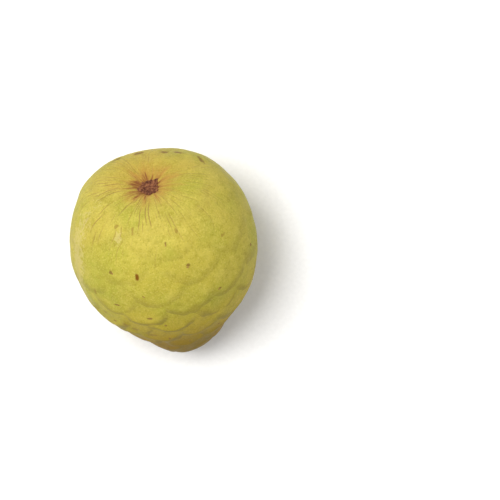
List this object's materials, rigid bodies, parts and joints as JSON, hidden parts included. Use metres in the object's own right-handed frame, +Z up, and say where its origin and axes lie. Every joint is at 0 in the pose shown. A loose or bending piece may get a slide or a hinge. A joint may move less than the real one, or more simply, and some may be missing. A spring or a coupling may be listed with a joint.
{
  "type": "cherimoya",
  "caption": "Whole cherimoya, a heart-shaped tropical fruit with low overlapping scales and a hollow at the stem end, lying on its flank on a small flat spot.",
  "frame": {"origin": "under the middle of the fruit, on the surface that it lies on", "axes": "+Z up, +Y towards the stem end, which is raised, -Y towards the blunt tip, +X the fruit's right flank seen from above with the stem end at the top"},
  "size_m": [0.0916, 0.102, 0.0891],
  "materials": {
    "skin": "thin leathery yellow-green rind with a soft satin sheen, russet lines at the stem hollow and small corky marks"
  },
  "bodies": {
    "root": {"cherimoya": "skin"}
  },
  "joints": []
}
